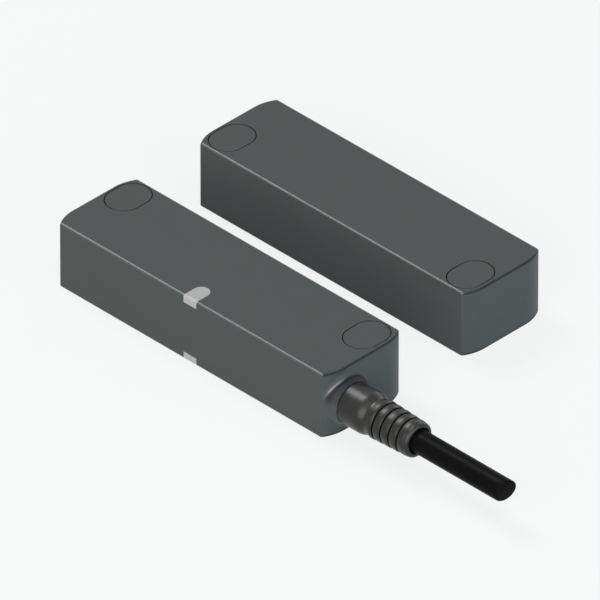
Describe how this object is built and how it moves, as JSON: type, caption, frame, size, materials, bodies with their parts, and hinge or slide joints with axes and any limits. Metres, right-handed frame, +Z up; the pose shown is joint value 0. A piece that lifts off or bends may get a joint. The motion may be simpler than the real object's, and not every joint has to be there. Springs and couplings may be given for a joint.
{
  "type": "non-contact safety switch",
  "caption": "Coded magnetic safety switch: slim sensor with moulded cable and matching actuator, each screwed down through capped end pockets.",
  "frame": {"origin": "middle of the sensor's flat mounting face", "axes": "+X along the sensor towards its cable, +Y from the sensor to the actuator, +Z up out of the mounting face"},
  "size_m": [0.1409, 0.0712, 0.018],
  "materials": {
    "housing_plastic": "fine spark-eroded texture, dark grey",
    "cap_plastic": "same grey as the housings",
    "cover_plastic": "smooth dark grey",
    "light_guide": "milky, satin",
    "board": "green solder resist",
    "led": "clear resin",
    "resistor": "ceramic",
    "boot_rubber": "satin moulded",
    "cable_jacket": "satin extruded",
    "ferrule_steel": "zinc plated",
    "core_brown": "extruded",
    "core_blue": "extruded",
    "core_white": "extruded",
    "core_black": "extruded",
    "carrier_plastic": "moulded",
    "reed_glass": "clear green glass",
    "reed_alloy": "tinned nickel-iron",
    "magnet": "nickel plated",
    "sleeve_brass": "turned"
  },
  "bodies": {
    "sensor": {"sensor_housing": "housing_plastic", "sensor_base_cover": "cover_plastic", "light_guide_upper": "light_guide", "light_guide_lower": "light_guide", "circuit_board": "board", "indicator_leds": "led", "chip_resistors": "resistor", "cable_boot": "boot_rubber", "cable_jacket": "cable_jacket", "cable_ferrule": "ferrule_steel", "reed_glass_1": "reed_glass", "reed_glass_2": "reed_glass", "reed_glass_3": "reed_glass", "reed_contacts_1": "reed_alloy", "reed_contacts_2": "reed_alloy", "reed_contacts_3": "reed_alloy", "cable_core_1": "core_brown", "cable_core_2": "core_blue", "cable_core_3": "core_white", "cable_core_4": "core_black", "sensor_sleeve_left": "sleeve_brass", "sensor_sleeve_right": "sleeve_brass"},
    "sensor_left_cap": {"sensor_cap_left": "cap_plastic"},
    "sensor_right_cap": {"sensor_cap_right": "cap_plastic"},
    "actuator": {"actuator_housing": "housing_plastic", "actuator_base_cover": "cover_plastic", "magnet_carrier": "carrier_plastic", "magnet_1": "magnet", "magnet_2": "magnet", "magnet_3": "magnet", "actuator_sleeve_left": "sleeve_brass", "actuator_sleeve_right": "sleeve_brass"},
    "actuator_left_cap": {"actuator_cap_left": "cap_plastic"},
    "actuator_right_cap": {"actuator_cap_right": "cap_plastic"}
  },
  "joints": [
    {"name": "actuator_approach", "type": "slide", "parent": "sensor", "child": "actuator", "axis": [0, 1, 0], "range_m": [-0.0194, 0.06]},
    {"name": "sensor_cap_left_pull", "type": "slide", "parent": "sensor", "child": "sensor_left_cap", "axis": [0, 0, 1], "range_m": [0, 0.008]},
    {"name": "sensor_cap_right_pull", "type": "slide", "parent": "sensor", "child": "sensor_right_cap", "axis": [0, 0, 1], "range_m": [0, 0.008]},
    {"name": "actuator_cap_left_pull", "type": "slide", "parent": "actuator", "child": "actuator_left_cap", "axis": [0, 0, 1], "range_m": [0, 0.008]},
    {"name": "actuator_cap_right_pull", "type": "slide", "parent": "actuator", "child": "actuator_right_cap", "axis": [0, 0, 1], "range_m": [0, 0.008]}
  ]
}
